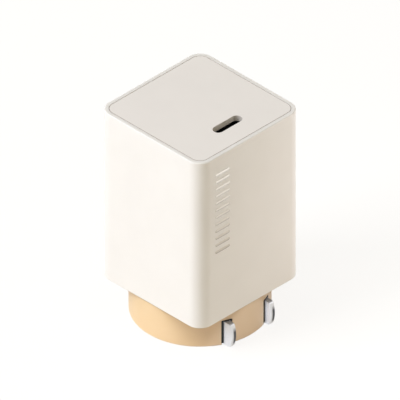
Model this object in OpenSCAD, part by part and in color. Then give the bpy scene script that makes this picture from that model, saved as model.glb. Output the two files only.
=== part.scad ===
// Wall-plug laptop power adapter: a square case with one USB-C port in its top
// panel, on a round drum that holds two fold-out mains blades.
// The drum stands on Z = 0. The folded blades point along -Y, to the front.
// They swing down about an axis along X until they point along -Z.

/* [Case] */
// Outer width and depth of the case
case_side = 33.5; // [33:0.1:41]
// Height of the case, without the drum below it
case_height = 46.9; // [46.5:0.1:60]
// Radius of the four upright corners
case_corner_r = 3.6; // [2.8:0.1:5]
// Thickness of the side walls
case_wall = 1.7; // [1.5:0.05:2.1]
// Thickness of the case floor
case_floor_t = 1.5; // [1.2:0.1:2]
// Rounding of the top and bottom edges
case_edge_r = 0.25; // [0.2:0.05:0.8]

/* [Port panel] */
// Width of the rim that the case shows around the panel
panel_rim = 1.05; // [0.9:0.05:1.3]
// Seam between the rim and the panel
panel_seam = 0.12; // [0.06:0.02:0.3]
// Thickness of the panel
panel_t = 1.5; // [1.2:0.1:1.8]
// Distance from the front of the case to the middle of the port
port_setback = 7.75; // [7.5:0.05:9]
// Long side of the port's opening
port_w = 8.7; // [8.5:0.05:9.2]
// Short side of the port's opening
port_h = 2.7; // [2.6:0.05:3.2]

/* [Drum] */
// Diameter of the drum
drum_d = 33.2; // [31.4:0.1:40]
// Height of the drum below the case
drum_height = 9.1; // [9:0.1:12]
// Thickness of the drum's skin
drum_wall = 1.5; // [1:0.1:1.6]
// Thickness of the drum's floor
drum_floor_t = 1.4; // [1.2:0.05:1.6]
// Rounding of the drum's lower edge
drum_edge_r = 0.2; // [0.2:0.05:0.8]
// Thickness of the neck's wall
neck_wall = 1.2; // [1:0.1:1.4]

/* [Blades] */
// Width of a blade
blade_w = 6.35; // [5.2:0.05:7.7]
// Thickness of a blade
blade_t = 1.5; // [1.2:0.05:1.8]
// Distance between the middles of the two blades
blade_pitch = 12.7; // [10.5:0.1:15.3]
// How far an open blade stands out of the drum
blade_reach = 17.9; // [15.9:0.1:20]
// How far a folded tip stands past the front of the case
blade_proud = 0.8; // [0:0.1:1.5]
// Radius of the arc that ends a blade
blade_tip_r = 8.3; // [5:0.1:12]
// Radius of the corners beside that arc
blade_tip_corner_r = 1.3; // [0.5:0.1:2]
// Gap between a blade and each side of its channel in the drum
blade_side_gap = 0.35; // [0.3:0.05:0.5]
// Gap between a blade and the roof of its channel
blade_top_gap = 0.15; // [0.1:0.05:0.3]
// How much the channel widens at its mouth, on each side and above
mouth_flare = 0.15; // [0:0.05:0.4]
// How far a blade's tail reaches behind the hinge axis
tail_reach = 5; // [4.8:0.1:6]

/* [Hinge] */
// Radius of the rotor's barrel
rotor_r = 3.1; // [2.9:0.05:3.8]
// How far the rotor reaches past the outer face of each blade
rotor_shoulder = 1.7; // [1.6:0.1:2]
// Gap between the rotor and the walls of its pocket
rotor_gap = 0.3; // [0.2:0.05:0.4]
// Diameter of the two hinge pins
hinge_pin_d = 1.6; // [1.2:0.1:2]
// Radial clearance of a pin in its bearing
hinge_pin_clearance = 0.05; // [0.02:0.01:0.1]
// Thickness of the cheeks that carry the pins
cheek_t = 1.8; // [1.4:0.1:2.2]
// How far the detent spring drops into a groove of the rotor
detent_depth = 0.3; // [0.15:0.05:0.4]

/* [USB-C receptacle] */
// Outer width of the metal shell
shell_w = 8.94; // [8.8:0.02:9.2]
// Outer height of the metal shell
shell_h = 3.16; // [3.1:0.02:3.3]
// Wall of the metal shell
shell_wall = 0.3; // [0.2:0.02:0.35]
// Length of the metal shell
shell_len = 7.3; // [6.6:0.1:9]
// Width of the contact tongue
tongue_w = 6.69; // [6.5:0.01:6.8]
// Thickness of the contact tongue
tongue_t = 0.7; // [0.6:0.02:0.8]
// Distance from the shell's mouth down to the tongue's tip
tongue_setback = 0.55; // [0.4:0.05:0.8]

/* [Boards] */
// Thickness of the three circuit boards
board_t = 1; // [0.8:0.1:1.2]
// Height of the posts that carry the input board
board_post_h = 2.4; // [2.3:0.1:3]
// Depth kept free for flat chips between the main board and the heat spreader
chip_side_depth = 1.2; // [1.1:0.1:1.5]
// Thickness of the heat spreader
spreader_t = 0.4; // [0.3:0.05:0.5]
// Thickness of the insulating sheet
sheet_t = 0.2; // [0.1:0.05:0.25]

/* [Electrical parts] */
// Diameter of the bulk capacitors
bulk_d = 9.2; // [8:0.1:9.4]
// Height of the two upright bulk capacitors
bulk_len = 34; // [20:1:36]
// Length of the bulk capacitor that lies on the main board
bulk_lying_len = 17.5; // [12:0.5:18.5]
// Length of the transformer's core, upwards
core_l = 19; // [17:0.5:19.5]
// Depth of the transformer's core, front to back
core_d = 15.5; // [14:0.5:15.5]
// Height of the transformer's core above the main board
core_h = 15.6; // [12:0.1:15.8]
// Outer diameter of the line choke's core
choke_d = 12; // [9:0.5:12]
// Diameter of the output capacitors
output_cap_d = 6.3; // [5:0.1:6.6]
// Height of the output capacitors
output_cap_h = 5.8; // [4:0.1:6.2]

/* [Hidden] */
$fn = 64;

// Plastics and metals, as the eye sees them.
cream = "#F4ECDD";
warm_grey = "#E6E0D8";
tan_plastic = "#EBC08A";
board_green = "#2E5E46";
chip_black = "#1E1E20";
sleeve_dark = "#2B2F36";
ferrite_grey = "#3B3B3F";
cut = 1; // how far a cutting solid runs past the face that it opens

// Levels of the case.
case_z = drum_height;
top_z = case_z + case_height;
cavity_floor_z = case_z + case_floor_t;
cavity_half = case_side / 2 - case_wall;
cavity_corner_r = case_corner_r - case_wall;
case_front_y = -case_side / 2;

// The port panel lies in a recess, on a ledge that the case's wall leaves.
panel_z = top_z - panel_t;
recess_side = case_side - 2 * panel_rim;
panel_side = recess_side - 2 * panel_seam;
panel_corner_r = case_corner_r - panel_rim;
skirt_clearance = 0.1;
skirt_t = 0.7;
skirt_h = 1.8;
port_y = case_front_y + port_setback;

// Blades and hinge. A folded blade lies just clear of the standing face.
blade_lift = 0.1;
swing_half = max(blade_w / 2, rotor_r);
hinge_z = swing_half + blade_lift;
blade_len = blade_reach + hinge_z;
hinge_y = case_front_y - blade_proud + blade_len;
slot_w = blade_t + 2 * blade_side_gap;
slot_top_z = hinge_z + blade_w / 2 + blade_top_gap;
mouth_depth = 3.4;
shank_w = 4.2;
tail_w = 3.2;
heel_r = rotor_r + 0.6;
rotor_len = blade_pitch + blade_t + 2 * rotor_shoulder;
pocket_r = swing_half + rotor_gap;
cheek_in = rotor_len / 2 + rotor_gap;
cheek_out = cheek_in + cheek_t;
tail_side_gap = 0.5;
tail_stop_gap = 0.15;
pocket_back_y = hinge_y + tail_reach + tail_side_gap;
pocket_wall = 0.9;
pocket_front_y = hinge_y - pocket_r - pocket_wall;
pin_hold = 1.3;
pin_end_gap = 0.1;
bearing_r = hinge_pin_d / 2 + hinge_pin_clearance;

// Drum.
drum_r = drum_d / 2;
neck_clearance = 0.1;
hook_gap = 0.05;
hook_h = 0.6;
hook_reach = 0.6;
hook_angle = 24;
hook_side_gap = 0.25;
neck_skin_gap = 0.9;
neck_r = min(cavity_half - hook_reach - hook_side_gap, drum_r - drum_wall - neck_skin_gap);
neck_in_r = neck_r - neck_wall;
skin_ribs = 12;
skin_rib_t = 0.8;

// The retainer closes the rotor's pocket from above. Its top is level with the
// highest point that a blade's tail reaches.
retainer_lift = 0.4;
retainer_z = hinge_z + swing_half + blade_top_gap + retainer_lift;
retainer_top_z = hinge_z + tail_reach;
retainer_t = retainer_top_z - retainer_z;
retainer_edge_gap = 0.3;
boss_r = 1.7;
boss_overlap = 0.6;
screw_r = 0.8;
screw_head_r = 1.5;
screw_head_h = 0.8;
screw_len = 5;
screw_recess = [1.6, 0.36, 0.5];
front_screw_y = pocket_front_y - boss_r + boss_overlap;
rear_screw_y = neck_in_r - boss_r;
screw_places = [[0, front_screw_y], [0, rear_screw_y]];

// Springs.
leaf_t = 0.2;
detent_w = 3.6;
detent_play = 0.1;
detent_z = retainer_z + leaf_t / 2;
detent_r = detent_z - hinge_z - rotor_r + detent_depth;
detent_room = 1.4;
detent_side_gap = 0.3;
leaf_rest = 0.6;
leaf_front_y = hinge_y - pocket_r - leaf_rest;
leaf_back_y = hinge_y + detent_r + detent_room + leaf_rest;
contact_w = 2;
contact_gap = 0.05;
contact_leg_gap = 0.8;
contact_finger_past = 2.4;
contact_foot = 1.6;

// The metal and the sheet that line the case leave this room for the boards.
lining_gap = 0.2;
sheet_gap = 0.05;
zone_gap = 0.1;
lining_out = cavity_half - lining_gap;
sheet_out = lining_out - spreader_t - sheet_gap;
zone_half = sheet_out - sheet_t - zone_gap;
input_z = cavity_floor_z + board_post_h;
input_top_z = input_z + board_t;
main_x = -zone_half + chip_side_depth;
main_face_x = main_x + board_t;
mouth_gap = 0.1;
mouth_z = panel_z - mouth_gap;
output_face_y = port_y + shell_h / 2;
output_back_y = output_face_y + board_t;
board_post_r = 1.3;
board_post_inset = 1.5;
board_gap = 0.2;
main_front_y = output_back_y + board_gap;
main_top_z = panel_z - 2.2;
tab_w = 3;
tab_gap = 0.1;
lining_low_z = input_top_z + 0.6;
lining_top_z = panel_z - 4;
lining_front_y = output_face_y - 4;

// The transformer stands on the main board, with its axis along X.
core_plate = 2.6;
core_post_r = 4;
core_window_r = 7.3;
core_lift = 0.8;
core_y = (main_front_y + zone_half) / 2;
core_z = main_top_z - core_lift - core_l / 2;
core_channel = 1.6;
bobbin_wall = 0.5;
bobbin_gap = 0.1;
rail_d = 2;
lead_r = 0.3;
lead_gap = 0.1;
lead_past = 0.6;
lead_root = 0.4;
rail_pin_pitch = 4;
rail_pin_y = core_d / 2 + bobbin_gap + rail_d / 2;

// Parts that stand on the input board.
bulk_r = bulk_d / 2;
part_gap = 0.3;
bulk_x = zone_half - bulk_r;
bulk_front_y = output_back_y + part_gap + bulk_r;
bulk_rear_y = bulk_front_y + bulk_d + part_gap;
bulk_lead_pitch = 4;
choke_r = choke_d / 2;
choke_ring_t = 2.6;
choke_bore_r = choke_r - choke_ring_t;
choke_core_h = 4.8;
choke_wire = 0.8;
choke_wire_gap = 0.05;
choke_arc = 130;
choke_x = (main_face_x + bulk_x - bulk_r) / 2;
choke_y = zone_half - part_gap - choke_r - choke_wire;
block_front_y = output_back_y + 0.8;
block_corner_r = 0.6;
fuse_size = [3.5, 6.6, 7];
fuse_place = [bulk_x - bulk_r - part_gap - fuse_size.x / 2, block_front_y + fuse_size.y / 2];
fuse_pitch = 4.4;
film_cap_size = [11.8, 4.7, 8];
film_cap_place = [fuse_place.x - (fuse_size.x + film_cap_size.x) / 2 - part_gap,
  block_front_y + film_cap_size.y / 2];
film_cap_pitch = 9;
bridge_size = [6.5, 5, 1.5];
power_chip_size = [8, 7, 0.9];
controller_size = [5, 4, 0.9];
rectifier_size = [5, 6, 0.7];
port_chip_size = [4.5, 4, 0.8];
disc_size = [7, 2.6];
disc_edge_r = 0.5;
pad_side = 9;
rectifier_z = input_top_z + film_cap_size.z + rectifier_size.y;
port_chip_z = mouth_z - shell_len - port_chip_size.y;
output_cap_z = port_chip_z - port_chip_size.y / 2 - output_cap_d;
disc_z = input_top_z + disc_size.x;
lying_z = core_z - core_l / 2 - part_gap - bulk_r;
lying_y = main_front_y + 1;

// Holes in the input board, where leads of the parts above it come through.
bulk_places = [[bulk_x, bulk_front_y], [bulk_x, bulk_rear_y]];
lead_places = concat(
  [for (p = bulk_places, s = [-1, 1]) p + [0, s * bulk_lead_pitch / 2]],
  [for (s = [-1, 1]) fuse_place + [0, s * fuse_pitch / 2]],
  [for (s = [-1, 1]) film_cap_place + [s * film_cap_pitch / 2, 0]]);

// Shapes -------------------------------------------------------------------

// Square with round corners, as a flat outline.
module round_square(side, r) {
  square([side - 2 * r, side], center = true);
  square([side, side - 2 * r], center = true);
  for (sx = [-1, 1], sy = [-1, 1])
    translate([sx * (side / 2 - r), sy * (side / 2 - r)]) circle(r);
}

// Slot outline with full round ends, its long side along X.
module stadium(w, h) {
  square([w - h, h], center = true);
  for (s = [-1, 1]) translate([s * (w - h) / 2, 0]) circle(h / 2);
}

// Half section of a wall: from the axis out to depth, with its outer edges rounded.
module edge_section(depth, h, r) {
  square([depth - r, h]);
  translate([0, r]) square([depth, h - 2 * r]);
  for (z = [r, h - r]) translate([depth - r, z]) circle(r);
}

// Upright square block with round corners and rounded top and bottom edges.
module soft_block(side, corner_r, h, edge_r) {
  flat = side - 2 * corner_r;
  translate([-flat / 2, -flat / 2, 0]) cube([flat, flat, h]);
  for (a = [0 : 90 : 270]) rotate(a) {
    translate([flat / 2, 0, 0]) rotate([90, 0, 0])
      linear_extrude(flat, center = true) edge_section(corner_r, h, edge_r);
    translate([flat / 2, flat / 2, 0])
      rotate_extrude(angle = 90) edge_section(corner_r, h, edge_r);
  }
}

// Tube with a round bore.
module ring(outer_r, inner_r, h) {
  difference() {
    cylinder(r = outer_r, h = h);
    translate([0, 0, -cut]) cylinder(r = inner_r, h = h + 2 * cut);
  }
}

// Box from its lowest to its highest corner.
module span(low, high) {
  translate(low) cube(high - low);
}

// Places children at the left and the right blade.
module at_blades() {
  for (s = [-1, 1]) translate([s * blade_pitch / 2, 0, 0]) children();
}

// Lays a flat outline, drawn as [Y, Z], upright across X.
module across_x(w) {
  rotate([90, 0, 90]) linear_extrude(w, center = true) children();
}

// Case and panel -----------------------------------------------------------

module board_posts() {
  place = cavity_half - board_post_r - board_post_inset;
  for (sx = [-1, 1], sy = [-1, 1])
    translate([sx * place, sy * place, cavity_floor_z]) cylinder(r = board_post_r, h = board_post_h);
}

module outer_case() {
  color(cream) {
    difference() {
      translate([0, 0, case_z]) soft_block(case_side, case_corner_r, case_height, case_edge_r);
      translate([0, 0, cavity_floor_z])
        linear_extrude(case_height) round_square(2 * cavity_half, cavity_corner_r);
      translate([0, 0, panel_z])
        linear_extrude(panel_t + cut) round_square(recess_side, panel_corner_r);
      translate([0, 0, case_z - cut])
        cylinder(r = neck_r + neck_clearance, h = case_floor_t + 2 * cut);
    }
    board_posts();
  }
}

module port_panel() {
  skirt_half = cavity_half - skirt_clearance;
  color(warm_grey) difference() {
    union() {
      translate([0, 0, panel_z])
        linear_extrude(panel_t) round_square(panel_side, panel_corner_r - panel_seam);
      translate([0, 0, panel_z - skirt_h])
        linear_extrude(skirt_h) round_square(2 * skirt_half, cavity_corner_r - skirt_clearance);
    }
    translate([0, 0, panel_z - skirt_h - cut]) linear_extrude(skirt_h + cut)
      round_square(2 * (skirt_half - skirt_t), cavity_corner_r - skirt_clearance - skirt_t);
    translate([0, port_y, panel_z - cut]) linear_extrude(panel_t + 2 * cut) stadium(port_w, port_h);
  }
}

// Drum ---------------------------------------------------------------------

// Outer skin and floor of the drum, with its lower edge rounded.
module drum_cup() {
  difference() {
    rotate_extrude() {
      square([drum_r - drum_edge_r, drum_height]);
      translate([0, drum_edge_r]) square([drum_r, drum_height - drum_edge_r]);
      translate([drum_r - drum_edge_r, drum_edge_r]) circle(drum_edge_r);
    }
    translate([0, 0, drum_floor_t]) cylinder(r = drum_r - drum_wall, h = drum_height);
  }
}

// Neck that stands through the case floor, with four hooks that hold it there.
module drum_neck() {
  hook_z = cavity_floor_z + hook_gap;
  translate([0, 0, drum_floor_t / 2]) ring(neck_r, neck_in_r, hook_z + hook_h - drum_floor_t / 2);
  for (a = [45 : 90 : 315]) rotate(a - hook_angle / 2) translate([0, 0, hook_z])
    rotate_extrude(angle = hook_angle) translate([neck_in_r + neck_wall / 2, 0])
      square([neck_wall / 2 + hook_reach, hook_h]);
}

// Ribs between the neck and the skin.
module drum_ribs() {
  for (i = [0 : skin_ribs - 1]) rotate((i + 0.5) * 360 / skin_ribs)
    span([neck_r - neck_wall / 2, -skin_rib_t / 2, drum_floor_t / 2],
      [drum_r - drum_wall / 2, skin_rib_t / 2, drum_height - drum_floor_t]);
}

// Closed channels that keep the folded blades apart from the inside.
module blade_channels() {
  wall_x = slot_w / 2 + mouth_flare + pocket_wall;
  top_z = slot_top_z + mouth_flare + pocket_wall;
  intersection() {
    at_blades() span([-wall_x, -drum_r, drum_floor_t / 2], [wall_x, pocket_front_y, top_z]);
    cylinder(r = drum_r - drum_wall / 2, h = drum_height);
  }
}

// Room for the folded blades, wider where it opens through the drum's skin.
module blade_slots() {
  mouth_w = slot_w + 2 * mouth_flare;
  at_blades() {
    span([-slot_w / 2, -drum_r, -cut], [slot_w / 2, hinge_y, slot_top_z]);
    span([-mouth_w / 2, -drum_d, -cut], [mouth_w / 2, mouth_depth - drum_r, slot_top_z + mouth_flare]);
  }
}

// Walls round the rotor, with the bearings' lower halves in the two cheeks.
module rotor_pocket() {
  intersection() {
    difference() {
      span([-cheek_out, pocket_front_y, drum_floor_t / 2],
        [cheek_out, pocket_back_y + pocket_wall, retainer_z]);
      span([-cheek_in, hinge_y - pocket_r, 0], [cheek_in, pocket_back_y, retainer_z + cut]);
    }
    cylinder(r = neck_in_r + neck_wall / 2, h = retainer_z);
  }
}

module screw_bosses() {
  for (p = screw_places) translate([p.x, p.y, drum_floor_t / 2])
    cylinder(r = boss_r, h = retainer_z - drum_floor_t / 2);
}

// Drop-in seats of the hinge pins, open to the top.
module bearing_seats() {
  for (s = [-1, 1]) translate([s * (cheek_in + cheek_t / 2), hinge_y, 0]) {
    w = cheek_t + 2 * rotor_gap;
    translate([0, 0, hinge_z]) rotate([0, 90, 0]) cylinder(r = bearing_r, h = w, center = true);
    span([-w / 2, -bearing_r, hinge_z], [w / 2, bearing_r, retainer_z + cut]);
  }
}

module plug_drum() {
  color(tan_plastic) difference() {
    union() {
      drum_cup();
      drum_neck();
      drum_ribs();
      blade_channels();
      rotor_pocket();
      screw_bosses();
    }
    blade_slots();
    span([-cheek_in, hinge_y - pocket_r, -cut], [cheek_in, hinge_y + pocket_r, drum_floor_t + cut]);
    bearing_seats();
    for (p = screw_places) translate([p.x, p.y, retainer_z - screw_len + retainer_t])
      cylinder(r = screw_r, h = screw_len + cut);
  }
}

// Fingers of the retainer that fill the seats down to the pins.
module bearing_caps() {
  finger = bearing_r - hinge_pin_clearance;
  for (s = [-1, 1]) translate([s * (cheek_in + cheek_t / 2), hinge_y, 0]) difference() {
    span([-cheek_t / 2, -finger, hinge_z], [cheek_t / 2, finger, retainer_z + retainer_t / 2]);
    translate([0, 0, hinge_z]) rotate([0, 90, 0])
      cylinder(r = bearing_r, h = cheek_t + cut, center = true);
  }
}

// Shallow bed for the leaf's two ends, with open room above its arch.
module detent_recess() {
  bed_x = detent_w / 2 + detent_side_gap;
  room_y = detent_r + detent_room;
  span([-bed_x, leaf_front_y, retainer_z - cut], [bed_x, leaf_back_y, retainer_z + leaf_t]);
  span([-bed_x, hinge_y - room_y, retainer_z - cut], [bed_x, hinge_y + room_y, retainer_top_z + cut]);
}

module hinge_retainer() {
  color("#D8D3C8") {
    difference() {
      translate([0, 0, retainer_z]) linear_extrude(retainer_t) intersection() {
        union() {
          translate([-cheek_out, pocket_front_y])
            square([2 * cheek_out, pocket_back_y + pocket_wall - pocket_front_y]);
          for (p = screw_places) translate(p) circle(boss_r);
          translate([-boss_r, hinge_y + pocket_r]) square([2 * boss_r, rear_screw_y - hinge_y - pocket_r]);
        }
        circle(neck_in_r - retainer_edge_gap);
      }
      at_blades() span([-slot_w / 2, hinge_y - tail_w / 2 - tail_stop_gap, retainer_z - cut],
        [slot_w / 2, hinge_y + tail_reach, retainer_top_z + cut]);
      detent_recess();
      for (p = screw_places) translate([p.x, p.y, retainer_z - cut])
        cylinder(r = screw_r, h = retainer_t + 2 * cut);
    }
    bearing_caps();
  }
}

// Pan-head screw with a cross recess, its head on Z = 0.
module pan_screw() {
  difference() {
    union() {
      cylinder(r = screw_head_r, h = screw_head_h);
      translate([0, 0, -screw_len]) cylinder(r = screw_r, h = screw_len);
    }
    for (a = [0, 90]) rotate(a)
      translate([-screw_recess.x / 2, -screw_recess.y / 2, screw_head_h - screw_recess.z])
        cube([screw_recess.x, screw_recess.y, screw_recess.z + cut]);
  }
}

module retainer_screws() {
  color("silver") for (p = screw_places) translate([p.x, p.y, retainer_top_z]) pan_screw();
}

// Springs ------------------------------------------------------------------

// Leaf whose arched middle drops into a groove of the rotor. Its front end is held
// between the pocket's wall and the retainer, and its back end slides under the latter.
module detent_spring() {
  inner_r = detent_r - leaf_t;
  front = leaf_front_y - hinge_y;
  back = leaf_back_y - hinge_y;
  color("silver") translate([0, hinge_y, detent_z]) across_x(detent_w) {
    translate([front, -leaf_t / 2]) square([-inner_r - front, leaf_t]);
    translate([inner_r, -leaf_t / 2]) square([back - inner_r, leaf_t]);
    difference() {
      circle(detent_r);
      circle(inner_r);
      translate([-2 * detent_r, 0]) square([4 * detent_r, 2 * detent_r]);
    }
  }
}

// Strip that meets a blade's tail once the blade is open, soldered to the input board.
module mains_contact(side) {
  finger_z = hinge_z + tail_reach + contact_gap;
  leg_y = -tail_w / 2 - contact_leg_gap;
  color("#C58A4A") translate([side * blade_pitch / 2, hinge_y, 0]) across_x(contact_w) {
    translate([leg_y, finger_z]) square([tail_w / 2 + contact_finger_past, leaf_t]);
    translate([leg_y, finger_z]) square([leaf_t, input_z - finger_z]);
    translate([leg_y, input_z - leaf_t]) square([contact_foot, leaf_t]);
  }
}

// Blades and rotor ---------------------------------------------------------

// Outline of a blade, drawn with the hinge axis at the origin and the tip along +X.
module blade_outline() {
  c = blade_tip_corner_r;
  intersection() {
    translate([-tail_reach, -tail_w / 2]) square([2 * tail_reach, tail_w]);
    circle(tail_reach);
  }
  translate([-shank_w / 2, -shank_w / 2]) square([shank_w / 2 + rotor_r, shank_w]);
  intersection() {
    union() {
      translate([rotor_r, -blade_w / 2]) square([blade_len - c - rotor_r, blade_w]);
      translate([rotor_r, -blade_w / 2 + c]) square([blade_len - rotor_r, blade_w - 2 * c]);
      for (s = [-1, 1]) translate([blade_len - c, s * (blade_w / 2 - c)]) circle(c);
    }
    union() {
      translate([blade_len - blade_tip_r, 0]) circle(blade_tip_r);
      translate([0, -blade_w]) square([blade_len - blade_tip_r, 2 * blade_w]);
    }
  }
}

// Folded blade on one side of the middle plane.
module blade(side) {
  color("silver") translate([side * blade_pitch / 2, hinge_y, hinge_z])
    across_x(blade_t) mirror([1, 0]) blade_outline();
}

module blade_pair() {
  for (s = [-1, 1]) blade(s);
}

// Barrel with a blunt heel, the two blades' seats, the pins' bores and two detent
// grooves. The heel fills the drum's window beside the folded and the open blades.
module blade_rotor() {
  color(tan_plastic) difference() {
    translate([0, hinge_y, hinge_z]) across_x(rotor_len) {
      circle(rotor_r);
      intersection() {
        circle(heel_r);
        translate([-rotor_r, -rotor_r]) square(rotor_r);
      }
    }
    blade_pair();
    for (s = [-1, 1]) translate([s * rotor_len / 2, hinge_y, hinge_z]) rotate([0, 90, 0])
      cylinder(r = hinge_pin_d / 2, h = 2 * pin_hold, center = true);
    for (a = [0, -90]) translate([0, hinge_y, hinge_z]) rotate([a, 0, 0])
      translate([0, 0, detent_z - hinge_z]) rotate([0, 90, 0])
        cylinder(r = detent_r + detent_play, h = detent_w + 2 * detent_side_gap, center = true);
  }
}

module hinge_pin(side) {
  pin_len = pin_hold + rotor_gap + cheek_t - pin_end_gap;
  color("silver") translate([side * (rotor_len / 2 - pin_hold + pin_len / 2), hinge_y, hinge_z])
    rotate([0, 90, 0]) cylinder(r = hinge_pin_d / 2, h = pin_len, center = true);
}

// USB-C receptacle ---------------------------------------------------------

tongue_base = 2.2;
contact_pitch = 0.5;
contacts_a_side = 12;
contact_size = [0.26, 0.05, 3.6];
contact_setback = 0.5;
shell_tab = [1.1, 0.3, 1.4];
shell_tab_z = [0.6, 4.4];

module usb_c_shell() {
  tab = shell_tab;
  reach = shell_w / 2 + tab.x;
  color("#3A3A3C") translate([0, port_y, mouth_z - shell_len]) {
    difference() {
      linear_extrude(shell_len) stadium(shell_w, shell_h);
      translate([0, 0, -cut]) linear_extrude(shell_len + 2 * cut)
        stadium(shell_w - 2 * shell_wall, shell_h - 2 * shell_wall);
    }
    for (m = [0, 1], z = shell_tab_z) mirror([m, 0, 0])
      span([(shell_w - shell_h) / 2, shell_h / 2 - tab.y, z], [reach, shell_h / 2, z + tab.z]);
  }
}

module usb_c_tongue() {
  bottom_z = mouth_z - shell_len;
  color("#17171A") translate([0, port_y, bottom_z]) {
    linear_extrude(tongue_base) stadium(shell_w - 2 * shell_wall, shell_h - 2 * shell_wall);
    span([-tongue_w / 2, -tongue_t / 2, 0], [tongue_w / 2, tongue_t / 2, shell_len - tongue_setback]);
  }
}

module usb_c_contacts() {
  first_x = -(contacts_a_side - 1) / 2 * contact_pitch;
  z = mouth_z - tongue_setback - contact_setback - contact_size.z;
  color("gold") for (side = [-1, 1], i = [0 : contacts_a_side - 1])
    translate([first_x + i * contact_pitch, port_y + side * (tongue_t + contact_size.y) / 2, z])
      translate([-contact_size.x / 2, -contact_size.y / 2, 0]) cube(contact_size);
}

// Boards -------------------------------------------------------------------

// Round leads that run down through the input board.
module input_leads(places, r) {
  for (p = places) translate([p.x, p.y, input_z - lead_past])
    cylinder(r = r, h = lead_past + board_t + lead_root);
}

// Lower tabs of the two upright boards, which stand in slots of the input board.
module main_board_tabs(gap) {
  for (y = [main_front_y + tab_w, zone_half - 2 * tab_w])
    span([main_x - gap, y - gap, input_z - gap], [main_face_x + gap, y + tab_w + gap, input_top_z + cut]);
}

module output_board_tabs(gap) {
  for (s = [-1, 1]) translate([s * zone_half / 2, 0, 0])
    span([-tab_w / 2 - gap, output_face_y - gap, input_z - gap],
      [tab_w / 2 + gap, output_back_y + gap, input_top_z + cut]);
}

module input_board() {
  color(board_green) difference() {
    translate([0, 0, input_z]) linear_extrude(board_t) round_square(2 * zone_half, cavity_corner_r);
    input_leads(lead_places, lead_r + lead_gap);
    main_board_tabs(tab_gap);
    output_board_tabs(tab_gap);
  }
}

// Pins of the transformer's two rails, through the main board.
module rail_pins(r) {
  for (sy = [-1, 1], i = [-1 : 1])
    translate([main_x - lead_past, core_y + sy * rail_pin_y, core_z + i * rail_pin_pitch])
      rotate([0, 90, 0]) cylinder(r = r, h = lead_past + board_t + lead_root);
}

module main_board() {
  color(board_green) {
    difference() {
      span([main_x, main_front_y, input_top_z], [main_face_x, zone_half, main_top_z]);
      rail_pins(lead_r + lead_gap);
    }
    main_board_tabs(0);
  }
}

module output_board() {
  color(board_green) {
    span([-zone_half, output_face_y, input_top_z], [zone_half, output_back_y, mouth_z]);
    output_board_tabs(0);
  }
}

// Electrical parts ---------------------------------------------------------

// Can with a rounded rim, a crimped groove near its foot and a vented top.
module can_capacitor(d, l) {
  rim_r = 0.5;
  groove_r = 0.45;
  groove_z = 1.8;
  vent = [0.62 * d, 0.3, 0.2];
  difference() {
    union() {
      cylinder(d = d, h = l - rim_r);
      cylinder(d = d - 2 * rim_r, h = l);
      translate([0, 0, l - rim_r]) rotate_extrude() translate([d / 2 - rim_r, 0]) circle(rim_r);
    }
    translate([0, 0, groove_z]) rotate_extrude() translate([d / 2, 0]) circle(groove_r);
    for (a = [0, 60, 120]) rotate(a) translate([-vent.x / 2, -vent.y / 2, l - vent.z])
      cube([vent.x, vent.y, vent.z + cut]);
  }
}

module bulk_capacitor(place) {
  color(sleeve_dark) {
    translate([place.x, place.y, input_top_z]) can_capacitor(bulk_d, bulk_len);
    input_leads([for (s = [-1, 1]) place + [0, s * bulk_lead_pitch / 2]], lead_r);
  }
}

module bulk_capacitor_lying() {
  color(sleeve_dark) translate([main_face_x + bulk_r, lying_y, lying_z]) rotate([-90, 0, 0])
    can_capacitor(bulk_d, bulk_lying_len);
}

// Moulded block with round upright edges that stands on the input board.
module block_part(place, size) {
  r = block_corner_r;
  translate([place.x, place.y, input_top_z]) linear_extrude(size.z) {
    square([size.x - 2 * r, size.y], center = true);
    square([size.x, size.y - 2 * r], center = true);
    for (sx = [-1, 1], sy = [-1, 1]) translate([sx * (size.x / 2 - r), sy * (size.y / 2 - r)]) circle(r);
  }
}

module fuse() {
  color("#7A2B22") {
    block_part(fuse_place, fuse_size);
    input_leads([for (s = [-1, 1]) fuse_place + [0, s * fuse_pitch / 2]], lead_r);
  }
}

module line_filter_capacitor() {
  color("#C9A227") {
    block_part(film_cap_place, film_cap_size);
    input_leads([for (s = [-1, 1]) film_cap_place + [s * film_cap_pitch / 2, 0]], lead_r);
  }
}

module choke_frame() {
  translate([choke_x, choke_y, input_top_z + choke_wire]) children();
}

module line_choke_core() {
  color("#4C6B45") choke_frame() ring(choke_r, choke_bore_r, choke_core_h);
}

// Two windings, one on each half of the core.
module line_choke_windings() {
  g = choke_wire_gap;
  inside = [choke_r - choke_bore_r + 2 * g, choke_core_h + 2 * g];
  color("#B3682E") choke_frame() for (a = [90, 270]) rotate(a - choke_arc / 2)
    rotate_extrude(angle = choke_arc) difference() {
      translate([choke_bore_r - choke_wire, -choke_wire])
        square([choke_r - choke_bore_r + 2 * choke_wire, choke_core_h + 2 * choke_wire]);
      translate([choke_bore_r - g, -g]) square(inside);
    }
}

// Flat chip with feet along two sides, lying on Z = 0.
module footed_chip(size, feet) {
  foot = [0.4, 0.9, 0.2];
  translate([-size.x / 2, -size.y / 2, foot.z / 2]) cube([size.x, size.y, size.z - foot.z / 2]);
  for (s = [-1, 1], i = [0 : feet - 1])
    translate([(i - (feet - 1) / 2) * size.x / feet, s * size.y / 2, foot.z / 2]) cube(foot, center = true);
}

module bridge_rectifier() {
  color(chip_black) translate([choke_x, choke_y, input_z]) mirror([0, 0, 1]) footed_chip(bridge_size, 2);
}

module power_switch_chip() {
  color(chip_black) translate([main_x, core_y, core_z]) rotate([0, -90, 0])
    footed_chip(power_chip_size, 8);
}

module controller_chip() {
  color(chip_black) translate([main_x, core_y, lying_z]) rotate([0, -90, 0])
    footed_chip(controller_size, 5);
}

module synchronous_rectifier() {
  color(chip_black) translate([0, output_back_y, rectifier_z]) rotate([-90, 0, 0])
    footed_chip(rectifier_size, 4);
}

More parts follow.
